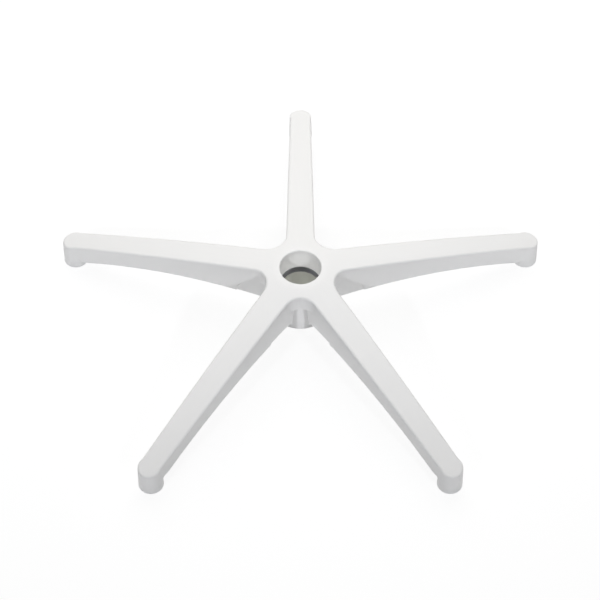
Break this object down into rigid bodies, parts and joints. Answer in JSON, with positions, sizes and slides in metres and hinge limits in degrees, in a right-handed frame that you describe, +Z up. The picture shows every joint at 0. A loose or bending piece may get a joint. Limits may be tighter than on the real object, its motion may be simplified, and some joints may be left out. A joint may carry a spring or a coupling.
{
  "type": "office chair five star base",
  "caption": "One-piece moulded star base of an office chair: crowned tapering arms run from a bored hub down to round feet with caster sockets.",
  "frame": {"origin": "on the axis of the column bore, at the hub's top face", "axes": "+Z up along the column bore, +Y along one arm towards its foot"},
  "size_m": [0.611, 0.5825, 0.104],
  "materials": {
    "moulding": "white, fine satin texture"
  },
  "bodies": {
    "root": {"five_star_base": "moulding"}
  },
  "joints": []
}
